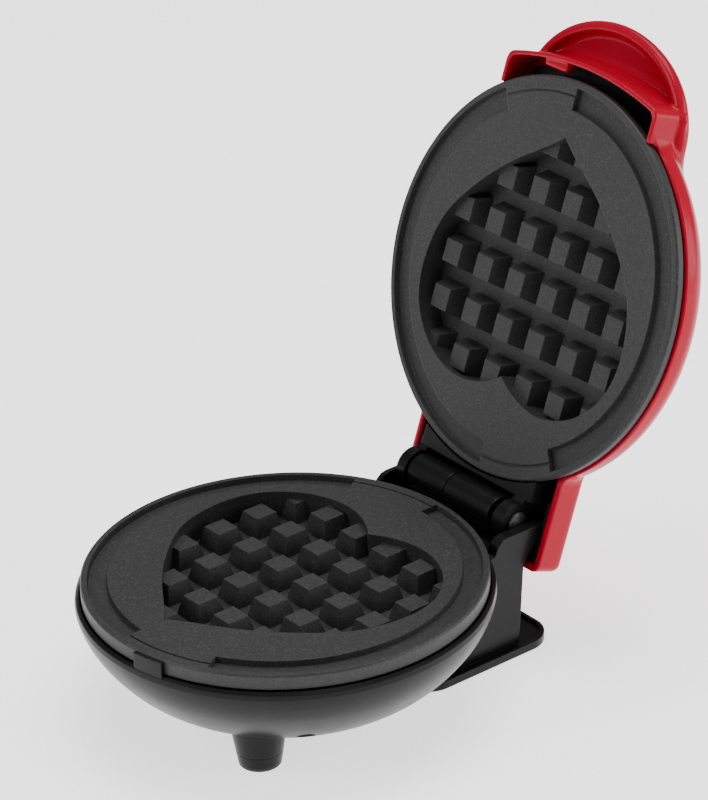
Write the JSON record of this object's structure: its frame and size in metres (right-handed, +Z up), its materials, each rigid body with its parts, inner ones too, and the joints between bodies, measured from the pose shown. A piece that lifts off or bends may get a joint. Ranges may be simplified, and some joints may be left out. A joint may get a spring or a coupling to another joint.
{
  "type": "mini waffle maker",
  "caption": "Small round countertop waffle maker with a hinged domed lid and two non-stick plates, each with a heart-shaped waffle cavity.",
  "frame": {"origin": "centre of the open waffle maker's box in X and Y, at the height of its feet", "axes": "+Z up; +Y towards the hinge, -Y towards the front of the cooking plate; +X to the right seen from the front"},
  "size_m": [0.127, 0.203, 0.1802],
  "materials": {
    "red_shell": "glossy moulded plastic",
    "black_plastic": "satin moulded plastic",
    "nonstick_plate": "fine speckled non-stick coating on a die-cast plate",
    "blue_lens": "clear tinted plastic with moulded ribs",
    "rubber_pads": "matte",
    "screw_steel": "zinc plated",
    "sheet_aluminium": "plain sheet",
    "element_tube": "dull sheath",
    "white_plastic": "moulded",
    "lamp_glass": "clear bulb",
    "black_pin": "black oxide"
  },
  "bodies": {
    "base": {"base_housing": "black_plastic", "tower_rear_cover": "black_plastic", "foot_plate": "black_plastic", "front_feet": "black_plastic", "front_foot_pads": "rubber_pads", "rear_foot_pads": "rubber_pads", "base_screws": "screw_steel", "lower_plate": "nonstick_plate", "lower_plate_screws": "screw_steel", "lower_heating_element": "element_tube", "lower_element_clamp": "sheet_aluminium", "lower_heat_shield": "sheet_aluminium", "thermostat": "screw_steel", "thermal_fuse": "sheet_aluminium", "terminal_block": "white_plastic", "cord_bushing": "black_plastic", "hinge_knuckle_left": "black_plastic", "hinge_knuckle_right": "black_plastic", "hinge_pin": "black_pin", "pin_clip": "screw_steel"},
    "lid": {"lid_shell": "red_shell", "lid_liner": "black_plastic", "upper_plate": "nonstick_plate", "upper_plate_screws": "screw_steel", "indicator_lens": "blue_lens", "lens_retainer": "white_plastic", "indicator_board": "white_plastic", "indicator_lamps": "lamp_glass", "upper_heating_element": "element_tube", "upper_element_clamp": "sheet_aluminium", "upper_heat_shield": "sheet_aluminium", "lid_screws": "screw_steel"}
  },
  "joints": [
    {"name": "lid_hinge", "type": "hinge", "parent": "base", "child": "lid", "pos_m": [0, 0.03248, 0.04115], "axis": [1, 0, 0], "range_deg": [0, 110.4]}
  ]
}
